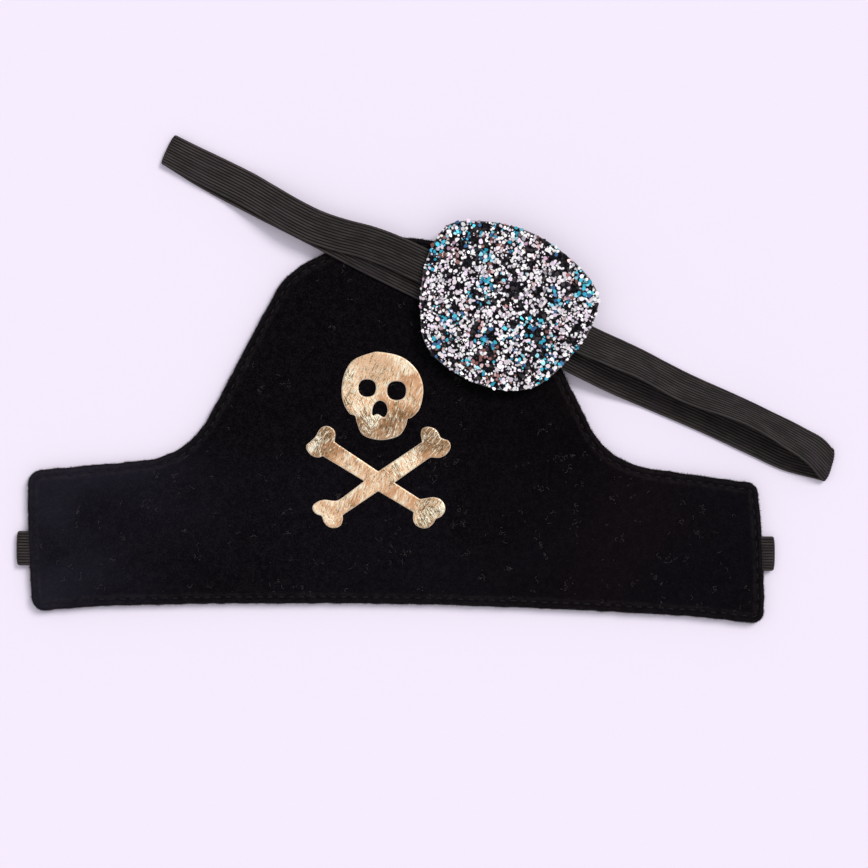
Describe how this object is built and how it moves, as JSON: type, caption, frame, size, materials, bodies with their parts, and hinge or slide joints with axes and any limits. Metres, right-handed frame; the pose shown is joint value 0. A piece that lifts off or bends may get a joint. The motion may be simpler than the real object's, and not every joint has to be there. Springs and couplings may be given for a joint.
{
  "type": "dress-up pirate hat with eye patch",
  "caption": "Flat bell-shaped dress-up hat in velvet with a foil skull and crossed bones, closed by a narrow elastic, with a glitter eye patch on its own strap.",
  "frame": {"origin": "on the flat underside of the felt back, on the hat's centre line, 36.5 mm above the hem's middle", "axes": "the hat lies flat with its velvet face up, +Z; +Y points to the top of the crown and +X along the band, to the right as seen from above"},
  "size_m": [0.2873, 0.1685, 0.0103],
  "materials": {
    "velvet": "short pile velvet, deep black with a faint blue sheen",
    "felt": "matte black felt",
    "interlining": "stiff white non-woven interlining",
    "foam": "soft grey foam",
    "elastic": "ribbed woven elastic, charcoal black",
    "thread": "black polyester sewing thread",
    "foil": "crackled rose-gold transfer foil",
    "glitter": "coarse mixed glitter, silver, lilac, blue and rose on black"
  },
  "bodies": {
    "hat": {"front_velvet": "velvet", "topstitch_thread": "thread", "interlining": "interlining", "back_felt": "felt", "back_elastic": "elastic", "skull_foil": "foil", "crossbones_foil": "foil"},
    "eye_patch": {"patch_glitter_face": "glitter", "patch_padding": "foam", "patch_backing": "felt", "patch_strap": "elastic", "strap_stitch_left": "thread", "strap_stitch_right": "thread"}
  },
  "joints": [
    {"name": "eye_patch_lift", "type": "slide", "parent": "hat", "child": "eye_patch", "axis": [0, 0, 1], "range_m": [0, 0.08]}
  ]
}
